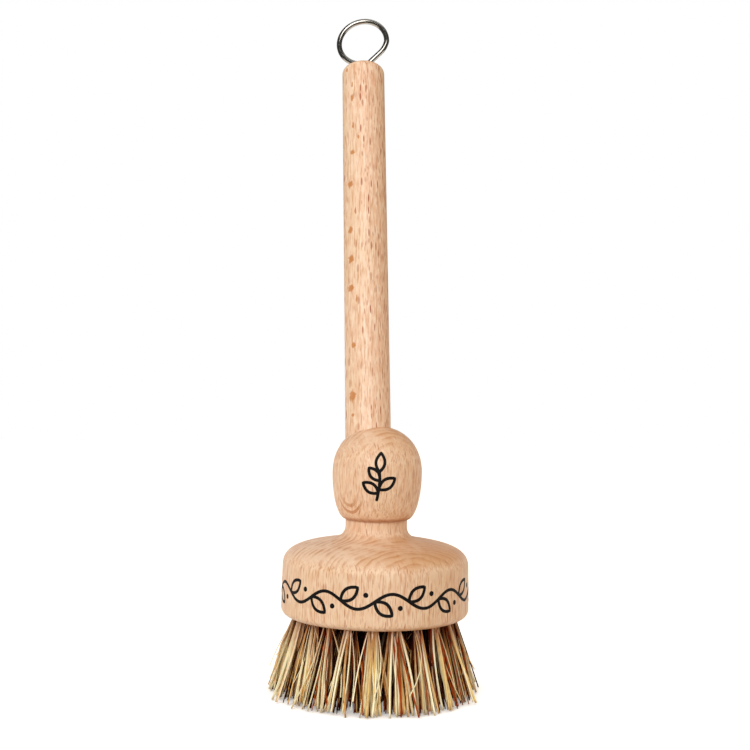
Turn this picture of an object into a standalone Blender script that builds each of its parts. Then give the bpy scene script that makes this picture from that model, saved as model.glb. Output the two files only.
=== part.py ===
"""Round wooden scrub brush: a turned beech body, a slanting dowel handle with a steel screw eye in its
end, and 54 tufts of stiff fibre stapled into blind holes. Metres, +Z up, bristle tips on z = 0, the
axis of the turned body on Z, the handle leaning towards +Y."""

import math
import random

import bmesh
import bpy
from mathutils import Matrix, Vector

MM = 0.001

# Clearances between pieces
SEAT_GAP = 0.3 * MM
CUT_OVERRUN = 4 * MM
WELD_DISTANCE = 0.01 * MM

# Turned body, heights measured up from its underside
BASE_DIAMETER = 65 * MM
BASE_EDGE_RADIUS = 3.4 * MM
WALL_TAPER = 0.3 * MM
WALL_HEIGHT = 17.3 * MM
SHOULDER_WALL_PULL = 6.1 * MM
SHOULDER_TOP_PULL = 5.2 * MM
SHOULDER_TOP_DIAMETER = 33.8 * MM
SHOULDER_TOP_HEIGHT = 26.2 * MM
SHOULDER_SLOPE = math.radians(12.5)
NECK_DIAMETER = 21 * MM
NECK_FILLET_RADIUS = 3.3 * MM
CREASE_HEIGHT = 33 * MM
KNOB_DIAMETER = 31.1 * MM
KNOB_MIDDLE_HEIGHT = 49 * MM
KNOB_TOP_HEIGHT = 65.1 * MM
KNOB_FULLNESS = 2.15
BODY_SEGMENTS = 48

# Handle and its socket in the knob
HANDLE_DIAMETER = 16 * MM
HANDLE_LENGTH = 163.7 * MM
HANDLE_LEAN = math.radians(16.6)
HANDLE_END_RADIUS = 3 * MM
HANDLE_FOOT_CHAMFER = 0.8 * MM
SOCKET_SIDE_OFFSET = 3 * MM
SOCKET_BELOW_KNOB_MIDDLE = 6 * MM
HANDLE_SEGMENTS = 36

# Screw eye in the handle's end
WIRE_DIAMETER = 2 * MM
EYE_OUTER_DIAMETER = 20.5 * MM
EYE_STANDOFF = 0.9 * MM
EYE_TWIST = math.radians(-15.3)
SHANK_LENGTH = 16 * MM
SHANK_TAPER_LENGTH = 4 * MM
SHANK_POINT_SHARE = 0.2
STRETCH_MEETS_RING = math.radians(70)
RING_STOPS_SHORT = math.radians(5)
WIRE_BEND_LENGTH = 1.1 * MM
RING_BLEND_LENGTH = 3 * MM
COUNTERSINK_DEPTH = 1.15 * MM
RING_STEPS = 26
BLEND_STEPS = 5

# Bristle tufts
BRISTLE_STANDOUT = 26.6 * MM
HOLE_DIAMETER = 5 * MM
HOLE_DEPTH = 11 * MM
HOLE_RIM_MARGIN = 0.6 * MM
HOLE_SIDES = 10
TUFTS_IN_CIRCLES = (22, 16, 10, 5)
CIRCLE_NAMES = ("outer", "middle", "inner", "core")
SPLAY_SHARE = 0.25
FOLD_LENGTH = 3 * MM
STAPLE_WIDTH_SHARE = 0.22
STRANDS_IN_TUFT = 8
STRAND_GAP = 0.3 * MM
STRAND_TAPER = 0.75
TRIM_UNEVENNESS = 0.8 * MM
SHORT_STRAND_SHARE = 0.35
TIP_SPREAD_SHARES = (0.0, 0.92, 0.64, 1.0, 0.68, 0.96, 0.62, 1.0)
SPREAD_PLAY_SHARE = 0.08
ANGLE_PLAY = math.radians(6)

SMOOTH_ANGLE = math.radians(35)

BASE_RADIUS = BASE_DIAMETER / 2
HANDLE_RADIUS = HANDLE_DIAMETER / 2
WIRE_RADIUS = WIRE_DIAMETER / 2
HOLE_RADIUS = HOLE_DIAMETER / 2
PLUG_RADIUS = HOLE_RADIUS * math.cos(math.pi / HOLE_SIDES) - SEAT_GAP
PLUG_LENGTH = HOLE_DEPTH - SEAT_GAP
OUTER_CIRCLE_RADIUS = BASE_RADIUS - BASE_EDGE_RADIUS - HOLE_RADIUS - HOLE_RIM_MARGIN
CIRCLE_STEP = OUTER_CIRCLE_RADIUS / len(TUFTS_IN_CIRCLES)


def clear_scene():
    for old in list(bpy.data.objects):
        bpy.data.objects.remove(old, do_unlink=True)


def material(name, colour, roughness, metallic=0.0):
    made = bpy.data.materials.new(name)
    made.use_nodes = True
    shader = made.node_tree.nodes["Principled BSDF"]
    shader.inputs["Base Color"].default_value = (*colour, 1.0)
    shader.inputs["Roughness"].default_value = roughness
    shader.inputs["Metallic"].default_value = metallic
    made.diffuse_color = (*colour, 1.0)
    return made


def add_object(name, data, surface=None, parent=None, location=(0, 0, 0), turn=0.0):
    thing = bpy.data.objects.new(name, data)
    bpy.context.scene.collection.objects.link(thing)
    thing.location = location
    thing.rotation_euler = (0, 0, turn)
    if parent:
        thing.parent = parent
    if surface:
        data.materials.append(surface)
    return thing


def finish_mesh(bm, name):
    bmesh.ops.recalc_face_normals(bm, faces=bm.faces)
    mesh = bpy.data.meshes.new(name)
    bm.to_mesh(mesh)
    bm.free()
    mesh.shade_smooth()
    mesh.set_sharp_from_angle(angle=SMOOTH_ANGLE)
    return mesh


def lathe(name, profile, segments):
    """Turns (radius, height) points about Z. Ends that stop off the axis are closed flat."""
    bm = bmesh.new()
    verts = [bm.verts.new((radius, 0, height)) for radius, height in profile]
    edges = [bm.edges.new(pair) for pair in zip(verts, verts[1:])]
    bmesh.ops.spin(
        bm, geom=verts + edges, cent=(0, 0, 0), axis=(0, 0, 1), angle=math.tau, steps=segments, use_merge=True
    )
    bmesh.ops.remove_doubles(bm, verts=bm.verts, dist=WELD_DISTANCE)
    bmesh.ops.holes_fill(bm, edges=[edge for edge in bm.edges if edge.is_boundary])
    return finish_mesh(bm, name)


def cut_away(target, cutter):
    cutter.hide_render = True
    cutter.display_type = "WIRE"
    cut = target.modifiers.new(cutter.name, "BOOLEAN")
    cut.operation = "DIFFERENCE"
    cut.object = cutter


def fractions(steps):
    return [step / steps for step in range(steps + 1)]


def arc(centre_radius, centre_height, radius, start, end, steps):
    """Points round a centre, angles measured from straight down towards the outside."""
    angles = [start + (end - start) * part for part in fractions(steps)]
    return [(centre_radius + radius * math.sin(a), centre_height - radius * math.cos(a)) for a in angles]


def cubic(start, pull_a, pull_b, end, steps):
    ends = [Vector(point) for point in (start, pull_a, pull_b, end)]
    weights = [((1 - t) ** 3, 3 * t * (1 - t) ** 2, 3 * t * t * (1 - t), t**3) for t in fractions(steps)]
    return [tuple(sum((w * p for w, p in zip(row, ends)), Vector((0, 0)))) for row in weights]


def body_profile():
    """The turned outline from the underside's rim to the top of the knob."""
    half_slope = (math.cos(SHOULDER_SLOPE), math.sin(SHOULDER_SLOPE))
    underside_rim = arc(
        BASE_RADIUS - BASE_EDGE_RADIUS, BASE_EDGE_RADIUS, BASE_EDGE_RADIUS, 0, math.pi / 2, 4
    )

    wall_top = (BASE_RADIUS - WALL_TAPER, WALL_HEIGHT)
    shoulder_top = (SHOULDER_TOP_DIAMETER / 2, SHOULDER_TOP_HEIGHT)
    shoulder = cubic(
        wall_top,
        (wall_top[0], wall_top[1] + SHOULDER_WALL_PULL),
        (
            shoulder_top[0] + SHOULDER_TOP_PULL * half_slope[0],
            shoulder_top[1] - SHOULDER_TOP_PULL * half_slope[1],
        ),
        shoulder_top,
        8,
    )

    neck_radius = NECK_DIAMETER / 2
    fillet_centre = neck_radius + NECK_FILLET_RADIUS
    foot_radius = fillet_centre - NECK_FILLET_RADIUS * half_slope[1]
    foot_height = shoulder_top[1] + (shoulder_top[0] - foot_radius) * math.tan(SHOULDER_SLOPE)
    fillet_height = foot_height + NECK_FILLET_RADIUS * half_slope[0]
    neck = arc(fillet_centre, fillet_height, NECK_FILLET_RADIUS, -SHOULDER_SLOPE, -math.pi / 2, 4)

    knob_radius = KNOB_DIAMETER / 2
    rise = KNOB_MIDDLE_HEIGHT - CREASE_HEIGHT
    swell = knob_radius - neck_radius
    quarter = [part * math.pi / 2 for part in fractions(7)]
    knob_below = [
        (neck_radius + swell * math.sin(a), KNOB_MIDDLE_HEIGHT - rise * math.cos(a)) for a in quarter
    ]

    crown = KNOB_TOP_HEIGHT - KNOB_MIDDLE_HEIGHT
    bulge = 2 / KNOB_FULLNESS
    knob_above = [
        (knob_radius * math.cos(a) ** bulge, KNOB_MIDDLE_HEIGHT + crown * math.sin(a) ** bulge)
        for a in quarter[1:-1]
    ]
    return underside_rim + shoulder + neck + knob_below + knob_above + [(0, KNOB_TOP_HEIGHT)]


def tuft_places():
    """Name, circle radius, angle and tip room (outwards, sideways) of every tuft."""
    strand_reach = PLUG_RADIUS * math.sin(math.pi / STRANDS_IN_TUFT) * STRAND_TAPER
    spread = 1 + SPLAY_SHARE
    room_out = CIRCLE_STEP * spread / 2 - STRAND_GAP / 2 - strand_reach
    places = []
    for row, (circle, count) in enumerate(zip(CIRCLE_NAMES, TUFTS_IN_CIRCLES)):
        radius = OUTER_CIRCLE_RADIUS - row * CIRCLE_STEP
        room_side = math.pi * radius * spread / count - STRAND_GAP / 2 - strand_reach
        for index in range(count):
            turn = math.tau * (index + row / 2) / count
            places.append((f"tuft_{circle}_{index + 1:02d}", radius, turn, room_out, room_side))
    places.append(("tuft_centre", 0, 0, room_out, room_out))
    return places


def lean_of(radius):
    return math.atan2(radius * SPLAY_SHARE, BRISTLE_STANDOUT)


def hole_cutter(places):
    """One blind hole for each tuft, leaning as its tuft leans."""
    bm = bmesh.new()
    length = HOLE_DEPTH + CUT_OVERRUN
    for _, radius, turn, _, _ in places:
        made = bmesh.ops.create_cone(
            bm, cap_ends=True, segments=HOLE_SIDES, radius1=HOLE_RADIUS, radius2=HOLE_RADIUS, depth=length
        )
        place = (
            Matrix.Rotation(turn, 4, "Z")
            @ Matrix.Translation((radius, 0, BRISTLE_STANDOUT))
            @ Matrix.Rotation(-lean_of(radius), 4, "Y")
            @ Matrix.Translation((0, 0, length / 2 - CUT_OVERRUN))
        )
        bmesh.ops.transform(bm, matrix=place, verts=made["verts"])
    return add_object("tuft_hole_cutter", finish_mesh(bm, "tuft_hole_cutter"))


def tuft_ring(bm, tilt, height, width_share, spin):
    angles = [spin + math.tau * part / STRANDS_IN_TUFT for part in range(STRANDS_IN_TUFT)]
    return [
        bm.verts.new(tilt @ Vector((PLUG_RADIUS * math.cos(a), PLUG_RADIUS * width_share * math.sin(a), height)))
        for a in angles
    ]


def tuft_mesh(name, radius, room_out, room_side, chance):
    """Folded root with its staple across the fold, and strands fanned out of the root's lower face."""
    bm = bmesh.new()
    tilt = Matrix.Rotation(-lean_of(radius), 4, "Y")
    spin = chance.random() * math.tau / STRANDS_IN_TUFT
    staple = tuft_ring(bm, tilt, PLUG_LENGTH, STAPLE_WIDTH_SHARE, spin)
    fold = tuft_ring(bm, tilt, PLUG_LENGTH - FOLD_LENGTH, 1, spin)
    mouth = tuft_ring(bm, tilt, 0, 1, spin)
    bm.faces.new(staple)
    for upper, lower in ((staple, fold), (fold, mouth)):
        for here in range(STRANDS_IN_TUFT):
            after = (here + 1) % STRANDS_IN_TUFT
            bm.faces.new((upper[here], lower[here], lower[after], upper[after]))
    middle = bm.verts.new((0, 0, 0))
    sectors = [
        bm.faces.new((middle, mouth[(here + 1) % STRANDS_IN_TUFT], mouth[here])) for here in range(STRANDS_IN_TUFT)
    ]
    bmesh.ops.inset_individual(bm, faces=sectors, thickness=STRAND_GAP / 2, use_even_offset=True)
    tips = bmesh.ops.extrude_discrete_faces(bm, faces=sectors)["faces"]

    aim = Vector((radius * SPLAY_SHARE, 0, -BRISTLE_STANDOUT))
    for index, (tip, share) in enumerate(zip(tips, TIP_SPREAD_SHARES)):
        angle = spin + math.tau * (index + 0.5) / STRANDS_IN_TUFT + ANGLE_PLAY * (2 * chance.random() - 1)
        reach = share * (1 - SPREAD_PLAY_SHARE * chance.random())
        short = TRIM_UNEVENNESS * chance.random() * (chance.random() < SHORT_STRAND_SHARE) * (index > 0)
        place = aim + Vector((reach * room_out * math.cos(angle), reach * room_side * math.sin(angle), short))
        root = tip.calc_center_median()
        for vert in tip.verts:
            vert.co = place + (vert.co - root) * STRAND_TAPER
            vert.co.z = place.z
    return finish_mesh(bm, name)


def add_tufts(places, fibres):
    for number, (name, radius, turn, room_out, room_side) in enumerate(places):
        chance = random.Random(number)
        mesh = tuft_mesh(name, radius, room_out, room_side, chance)
        root = (radius * math.cos(turn), radius * math.sin(turn), BRISTLE_STANDOUT)
        add_object(name, mesh, fibres[number % len(fibres)], location=root, turn=turn)


def add_body(beech, places, handle_axis):
    mesh = lathe("turned_body", body_profile(), BODY_SEGMENTS)
    body = add_object("turned_body", mesh, beech, location=(0, 0, BRISTLE_STANDOUT))
    cut_away(body, hole_cutter(places))

    socket_radius = HANDLE_RADIUS + SEAT_GAP
    floor = -SOCKET_BELOW_KNOB_MIDDLE
    mouth = KNOB_TOP_HEIGHT - KNOB_MIDDLE_HEIGHT + KNOB_DIAMETER / 2 + CUT_OVERRUN
    outline = [(socket_radius, floor), (socket_radius, mouth)]
    socket = add_object("socket_cutter", lathe("socket_cutter", outline, HANDLE_SEGMENTS), parent=handle_axis)
    cut_away(body, socket)


def add_handle_axis():
    axis = add_object("handle_axis", None)
    axis.location = (-SOCKET_SIDE_OFFSET, 0, BRISTLE_STANDOUT + KNOB_MIDDLE_HEIGHT)
    axis.rotation_euler = (-HANDLE_LEAN, 0, 0)
    return axis


def handle_profile():
    """The dowel from its foot in the socket to the pilot hole in its rounded end."""
    bore_radius = WIRE_RADIUS + SEAT_GAP
    end_arc = arc(
        HANDLE_RADIUS - HANDLE_END_RADIUS,
        HANDLE_LENGTH - HANDLE_END_RADIUS,
        HANDLE_END_RADIUS,
        math.pi / 2,
        math.pi,
        5,
    )
    return [
        (HANDLE_RADIUS - HANDLE_FOOT_CHAMFER, 0),
        (HANDLE_RADIUS, HANDLE_FOOT_CHAMFER),
        *end_arc,
        (bore_radius + COUNTERSINK_DEPTH, HANDLE_LENGTH),
        (bore_radius, HANDLE_LENGTH - COUNTERSINK_DEPTH),
        (bore_radius, HANDLE_LENGTH - SHANK_LENGTH - SEAT_GAP),
    ]


def add_handle(beech, handle_axis):
    foot = SEAT_GAP - SOCKET_BELOW_KNOB_MIDDLE
    mesh = lathe("handle", handle_profile(), HANDLE_SEGMENTS)
    add_object("handle", mesh, beech, parent=handle_axis, location=(0, 0, foot))
    return foot + HANDLE_LENGTH


def rounded_corner(before, corner, after):
    """A quadratic curve that takes the place of a sharp bend in the wire."""
    return [
        before * (1 - t) ** 2 + corner * 2 * t * (1 - t) + after * t * t
        for t in fractions(BLEND_STEPS)
    ]


def eye_route():
    """The wire's middle line in the ring's plane: shank, bend, straight stretch, then the ring."""
    ring_radius = EYE_OUTER_DIAMETER / 2 - WIRE_RADIUS
    ring_height = EYE_STANDOFF + EYE_OUTER_DIAMETER / 2

    def on_ring(angle):
        return Vector((ring_radius * math.sin(angle), ring_height - ring_radius * math.cos(angle)))

    surface = Vector((0, 0))
    down = Vector((0, -1))
    joint = on_ring(STRETCH_MEETS_RING)
    along = joint.normalized()
    shank_tip = surface + down * SHANK_LENGTH
    taper_top = surface + down * (SHANK_LENGTH - SHANK_TAPER_LENGTH)
    bend = rounded_corner(surface + down * WIRE_BEND_LENGTH, surface, along * WIRE_BEND_LENGTH)
    ring_start = STRETCH_MEETS_RING + RING_BLEND_LENGTH / ring_radius
    ring_end = math.tau - RING_STOPS_SHORT
    blend = rounded_corner(joint - along * RING_BLEND_LENGTH, joint, on_ring(ring_start))
    ring = [on_ring(ring_start + (ring_end - ring_start) * part) for part in fractions(RING_STEPS)[1:]]
    return [shank_tip, taper_top] + bend + blend + ring


def add_screw_eye(steel, handle_axis, end_height):
    route = eye_route()
    wire = bpy.data.curves.new("ring_screw_eye", "CURVE")
    wire.dimensions = "3D"
    wire.bevel_depth = WIRE_RADIUS
    wire.bevel_resolution = 3
    wire.use_fill_caps = True
    spline = wire.splines.new("POLY")
    spline.points.add(len(route) - 1)
    for point, (across, height) in zip(spline.points, route):
        point.co = (across, 0, height, 1)
    spline.points[0].radius = SHANK_POINT_SHARE
    add_object("ring_screw_eye", wire, steel, handle_axis, (0, 0, end_height), EYE_TWIST)


def build():
    clear_scene()
    beech = material("beech", (0.76, 0.48, 0.30), 0.55)
    steel = material("steel_wire", (0.42, 0.42, 0.42), 0.25, 1.0)
    fibres = [
        material("straw_fibre", (0.66, 0.50, 0.28), 0.6),
        material("golden_fibre", (0.55, 0.33, 0.13), 0.6),
        material("red_brown_fibre", (0.26, 0.10, 0.05), 0.6),
    ]
    places = tuft_places()
    handle_axis = add_handle_axis()
    add_body(beech, places, handle_axis)
    end_height = add_handle(beech, handle_axis)
    add_screw_eye(steel, handle_axis, end_height)
    add_tufts(places, fibres)


build()
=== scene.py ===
import math
import random

import bpy
from mathutils import Matrix, Vector


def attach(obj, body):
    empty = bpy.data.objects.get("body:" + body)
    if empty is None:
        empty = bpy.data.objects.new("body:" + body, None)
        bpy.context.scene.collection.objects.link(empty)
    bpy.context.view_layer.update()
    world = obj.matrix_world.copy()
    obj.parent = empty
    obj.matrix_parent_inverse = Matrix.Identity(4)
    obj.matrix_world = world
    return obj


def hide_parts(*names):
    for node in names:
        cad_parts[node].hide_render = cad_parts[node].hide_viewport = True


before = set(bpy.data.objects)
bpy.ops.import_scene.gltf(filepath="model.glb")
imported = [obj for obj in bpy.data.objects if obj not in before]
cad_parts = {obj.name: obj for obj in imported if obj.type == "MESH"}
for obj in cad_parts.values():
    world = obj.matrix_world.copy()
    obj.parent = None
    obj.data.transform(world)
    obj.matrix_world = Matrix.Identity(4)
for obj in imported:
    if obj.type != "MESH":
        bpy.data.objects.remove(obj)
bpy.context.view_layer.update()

mm = 0.001
scene = bpy.context.scene
scene.view_settings.view_transform = "Standard"


def linear(hexText):
    # sRGB hex to the linear values that a shader takes
    parts = [int(hexText[i : i + 2], 16) / 255 for i in (1, 3, 5)]
    return tuple(c / 12.92 if c <= 0.04045 else ((c + 0.055) / 1.055) ** 2.4 for c in parts) + (1.0,)


def addNode(tree, kind, inputs=None, **settings):
    # an input that is a node takes that node's first live output
    node = tree.nodes.new("ShaderNode" + kind)
    for name, value in settings.items():
        setattr(node, name, value)
    for name, value in (inputs or {}).items():
        if isinstance(value, bpy.types.Node):
            value = next(socket for socket in value.outputs if socket.enabled)
        if isinstance(value, bpy.types.NodeSocket):
            tree.links.new(value, node.inputs[name])
        else:
            node.inputs[name].default_value = value
    return node


def newMaterial(name):
    made = bpy.data.materials.new(name)
    made.use_nodes = True
    return made, made.node_tree, made.node_tree.nodes["Principled BSDF"]


def colourAndRoughness(tree, shader, colour, noise, span, margin=0.0):
    # the roughness runs through span while the noise goes from margin to 1 - margin
    tree.links.new(colour.outputs[2], shader.inputs["Base Color"])
    rough = addNode(tree, "MapRange", {
        "Value": noise, "From Min": margin, "From Max": 1 - margin, "To Min": span[0], "To Max": span[1]
    })
    tree.links.new(rough.outputs[0], shader.inputs["Roughness"])


def grainNoise(tree, place, size, detail=2.0, roughness=0.5):
    # a noise drawn out along the grain; size is that of its features, two ways across and along
    drawnOut = addNode(tree, "Mapping", {"Vector": place, "Scale": [1 / each for each in size]})
    return addNode(tree, "TexNoise", {"Vector": drawnOut, "Scale": 1.0, "Detail": detail, "Roughness": roughness})


def newObject(name, data, place=None):
    made = bpy.data.objects.new(name, data)
    scene.collection.objects.link(made)
    if place is not None:
        made.matrix_world = place
    return made


def addPiece(name, mesh, material, place=None, nodes=()):
    piece = newObject(name, mesh, place)
    for each in material if isinstance(material, list) else [material]:
        mesh.materials.append(each)
    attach(piece, "root")
    if nodes:
        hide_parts(*nodes)
    return piece


def meshFrom(name, points, faces, smoothAngle=35):
    mesh = bpy.data.meshes.new(name)
    mesh.from_pydata(points, [], faces)
    mesh.validate()
    mesh.shade_smooth()
    mesh.set_sharp_from_angle(angle=math.radians(smoothAngle))
    return mesh


def steps(count):
    return [i / count for i in range(count + 1)]


def lathe(name, profile, segments):
    # profile is (radius, height) points, and one on the axis is a single point of the mesh
    points, rings = [], []
    for radius, height in profile:
        if radius < 1e-7:
            rings.append([len(points)])
            points.append((0, 0, height))
        else:
            rings.append(range(len(points), len(points) + segments))
            points += [
                (radius * math.cos(math.tau * k / segments), radius * math.sin(math.tau * k / segments), height)
                for k in range(segments)
            ]
    faces = []
    for lower, upper in zip(rings, rings[1:]):
        for k in range(segments):
            n = (k + 1) % segments
            if len(lower) == 1:
                faces.append((lower[0], upper[n], upper[k]))
            elif len(upper) == 1:
                faces.append((lower[k], lower[n], upper[0]))
            else:
                faces.append((lower[k], lower[n], upper[n], upper[k]))
    return meshFrom(name, points, faces)


def arc(centreRadius, centreHeight, radius, start, end, count):
    # angles run from straight down towards the outside
    return [
        (centreRadius + radius * math.sin(a), centreHeight - radius * math.cos(a))
        for a in (start + (end - start) * t for t in steps(count))
    ]


def cubic(a, b, c, d, count):
    return [
        tuple((1 - t) ** 3 * p + 3 * t * (1 - t) ** 2 * q + 3 * t * t * (1 - t) * r + t**3 * s
              for p, q, r, s in zip(a, b, c, d))
        for t in steps(count)
    ]


def cutBy(piece, cutter):
    # the cut is applied, so that the piece is one plain mesh
    cut = piece.modifiers.new("cut", "BOOLEAN")
    cut.operation, cut.solver, cut.object = "DIFFERENCE", "EXACT", cutter
    bpy.context.view_layer.update()
    cutMesh = bpy.data.meshes.new_from_object(piece.evaluated_get(bpy.context.evaluated_depsgraph_get()))
    piece.modifiers.clear()
    piece.data = cutMesh
    cutMesh.shade_smooth()
    cutMesh.set_sharp_from_angle(angle=math.radians(35))
    bpy.data.objects.remove(cutter)


def sweep(path, radiusAt, sides, flat=1.0, turn=0.0):
    # a closed tube along path; radiusAt(step, angle) is its radius, flat squeezes it one way
    points, faces = [], []
    along = [(path[min(i + 1, len(path) - 1)] - path[max(i - 1, 0)]).normalized() for i in range(len(path))]
    across = along[0].orthogonal().normalized()
    for i, (centre, ahead) in enumerate(zip(path, along)):
        across = (across - ahead * across.dot(ahead)).normalized()
        beside = ahead.cross(across)
        for k in range(sides):
            angle = math.tau * k / sides
            radius = radiusAt(i, angle)
            x, y = radius * math.cos(angle), radius * flat * math.sin(angle)
            points.append(
                centre + across * (x * math.cos(turn) - y * math.sin(turn))
                + beside * (x * math.sin(turn) + y * math.cos(turn))
            )
        if i:
            low, high = len(points) - 2 * sides, len(points) - sides
            faces += [
                (low + k, low + (k + 1) % sides, high + (k + 1) % sides, high + k) for k in range(sides)
            ]
    faces += [tuple(reversed(range(sides))), tuple(range(len(points) - sides, len(points)))]
    return points, faces


camera = {
    "distance": 430 * mm,  # from the body's axis
    "azimuth": math.radians(-6.8),
    "height": 109.5 * mm,
    "focalPixels": 1237.0,
    "picturePixels": 750,
    "axisAtPixel": 379.1,  # where the body's axis crosses the middle row of the picture
    "roll": math.radians(1.09),
    "sensorWidth": 36,
    "clipping": (0.01, 30),
}
cameraData = bpy.data.cameras.new("camera")
cameraData.sensor_width = camera["sensorWidth"]
cameraData.lens = camera["focalPixels"] / camera["picturePixels"] * camera["sensorWidth"]
cameraData.clip_start, cameraData.clip_end = camera["clipping"]
yaw = math.atan((camera["axisAtPixel"] - camera["picturePixels"] / 2) / camera["focalPixels"])
scene.camera = newObject("camera", cameraData, (
    Matrix.Rotation(camera["azimuth"], 4, "Z")
    @ Matrix.Translation((0, -camera["distance"], camera["height"]))
    @ Matrix.Rotation(yaw, 4, "Z")
    @ Matrix.Rotation(math.pi / 2, 4, "X")
    @ Matrix.Rotation(camera["roll"], 4, "Z")
))
print("camera set")


studio = {
    "fill": 0.64,
    "fillColour": "#FFE4C1",
    "lamps": {
        # name: place, where it aims, width, length, watts, colour, whether only reflections show it
        "softbox": ((-0.48, -0.85, 0.70), (0, 0.02, 0.16), 0.6, 0.6, 7.5, "#E4F0FF", False),
        "ringGlint": ((-0.13, -0.87, 0.55), (0, 0.05, 0.24), 0.74, 0.82, 8.6, "#FFFFFF", True),
    },
    "boardHalf": 1.5,
    "boardDrop": 0.05 * mm,  # the board lies this far under the bristle tips
    "boardColour": "#DEDCDA",
    "boardRoughness": 0.9,
    "boardLift": 0.8,
    "contactLift": 0.3,  # the lift in the deepest of the shadow
    "contactReach": 9 * mm,  # how far round the tips the painted contact shadow reaches
    "contactSpan": (0.5, 0.96),  # openness in the deepest of the shadow and outside it
    "felt": "#0C0C0C",
    "feltGlow": 0.07,  # painted light: the felt glows a little in place of the lamps' light on it
    "flagRadius": 1.5,
    "flagReach": math.radians(78),  # to each side of the camera
    "flagTop": math.radians(78),
    "flagFloorGap": 0.1,  # a flag lies on the board too, outside this radius
    "flagLift": 1 * mm,
    "ringFlag": (0.3, 0.16, 0.8, math.radians(130)),  # behind the ring: radius, lowest, highest, reach to each side
}
for name, (place, aim, width, length, watts, colour, reflected) in studio["lamps"].items():
    lamp = bpy.data.lights.new(name, "AREA")
    lamp.shape, lamp.size, lamp.size_y = "RECTANGLE", width, length
    lamp.energy, lamp.color = watts, linear(colour)[:3]
    turned = (Vector(place) - Vector(aim)).to_track_quat("Z", "Y").to_matrix().to_4x4()
    lampObject = newObject(name, lamp, Matrix.Translation(place) @ turned)
    lampObject.visible_diffuse, lampObject.visible_glossy = not reflected, reflected


def seenDirectly(tree):
    # 1 for the camera's own rays and for what metal reflects or glass lets through
    ray = addNode(tree, "LightPath").outputs
    seen = addNode(tree, "Math", {0: ray["Is Camera Ray"], 1: ray["Is Glossy Ray"]}, operation="MAXIMUM")
    return addNode(tree, "Math", {0: seen, 1: ray["Is Transmission Ray"]}, operation="MAXIMUM")


world = bpy.data.worlds.new("studio")
world.use_nodes = True
scene.world = world
tree = world.node_tree
fill = addNode(tree, "Background", {"Color": linear(studio["fillColour"]), "Strength": studio["fill"]})
white = addNode(tree, "Background", {"Color": (1, 1, 1, 1), "Strength": 1.0})
mixed = addNode(tree, "MixShader", {0: seenDirectly(tree), 1: fill, 2: white})
tree.links.new(mixed.outputs[0], tree.nodes["World Output"].inputs["Surface"])

# matt white board; the camera sees it lifted to white, with only the deepest of the shadow left in it, and ambient
# occlusion lowers the lift round the bristle tips as a painted contact shadow
boardMaterial, tree, shader = newMaterial("mattWhiteBoard")
shader.inputs["Base Color"].default_value = linear(studio["boardColour"])
shader.inputs["Roughness"].default_value = studio["boardRoughness"]
shader.inputs["Specular IOR Level"].default_value = 0.0
# painted contact shadow: the lift falls where ambient occlusion finds the bristles close by
nearby = addNode(tree, "AmbientOcclusion", {"Distance": studio["contactReach"]}, samples=8).outputs["AO"]
deep, clear = studio["contactSpan"]
lift = addNode(tree, "MapRange", {
    "Value": nearby, "From Min": deep, "From Max": clear,
    "To Min": studio["contactLift"], "To Max": studio["boardLift"],
})
glow = addNode(tree, "Emission", {"Color": (1, 1, 1, 1), "Strength": lift})
lifted = addNode(tree, "AddShader", {0: shader, 1: glow})
mixed = addNode(tree, "MixShader", {0: seenDirectly(tree), 1: shader, 2: lifted})
tree.links.new(mixed.outputs[0], tree.nodes["Material Output"].inputs["Surface"])
boardMesh = bpy.data.meshes.new("board")
half = studio["boardHalf"]
boardMesh.from_pydata([(-half, -half, 0), (half, -half, 0), (half, half, 0), (-half, half, 0)], [], [(0, 1, 2, 3)])
boardMesh.materials.append(boardMaterial)
board = newObject("board", boardMesh)
board.location.z = -studio["boardDrop"]

# black felt flags hung round the camera's side, as for any bright metal: only reflections show them
feltMaterial, tree, shader = newMaterial("blackFelt")
shader.inputs["Base Color"].default_value = linear(studio["felt"])
shader.inputs["Roughness"].default_value = 1.0
# painted light: a faint glow instead of light falling on the felt
shader.inputs["Emission Color"].default_value = (1, 1, 1, 1)
shader.inputs["Emission Strength"].default_value = studio["feltGlow"]


def addFlag(name, rows, middle, reach, across=36):
    # rows are (radius, height), each carried round through reach to both sides of middle
    points, faces = [], []
    for radius, height in rows:
        for share in steps(across):
            turn = middle + reach * (2 * share - 1)
            points.append((radius * math.sin(turn), -radius * math.cos(turn), height))
    for row in range(len(rows) - 1):
        for k in range(row * (across + 1), row * (across + 1) + across):
            faces.append((k, k + 1, k + across + 2, k + across + 1))
    flag = newObject(name, meshFrom(name, points, faces))
    flag.data.materials.append(feltMaterial)
    flag.visible_camera = flag.visible_diffuse = flag.visible_shadow = flag.visible_transmission = False


far = studio["flagRadius"]
domeRows = [(far * math.cos(rise * studio["flagTop"]), far * math.sin(rise * studio["flagTop"])) for rise in steps(8)]
floorRow = (studio["flagFloorGap"], studio["flagLift"])
addFlag("frontFlags", [floorRow, *domeRows], camera["azimuth"], studio["flagReach"])
radius, low, high, reach = studio["ringFlag"]
addFlag("ringFlag", [(radius, low), (radius, high)], camera["azimuth"] + math.pi, reach)
print("studio set")


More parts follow.
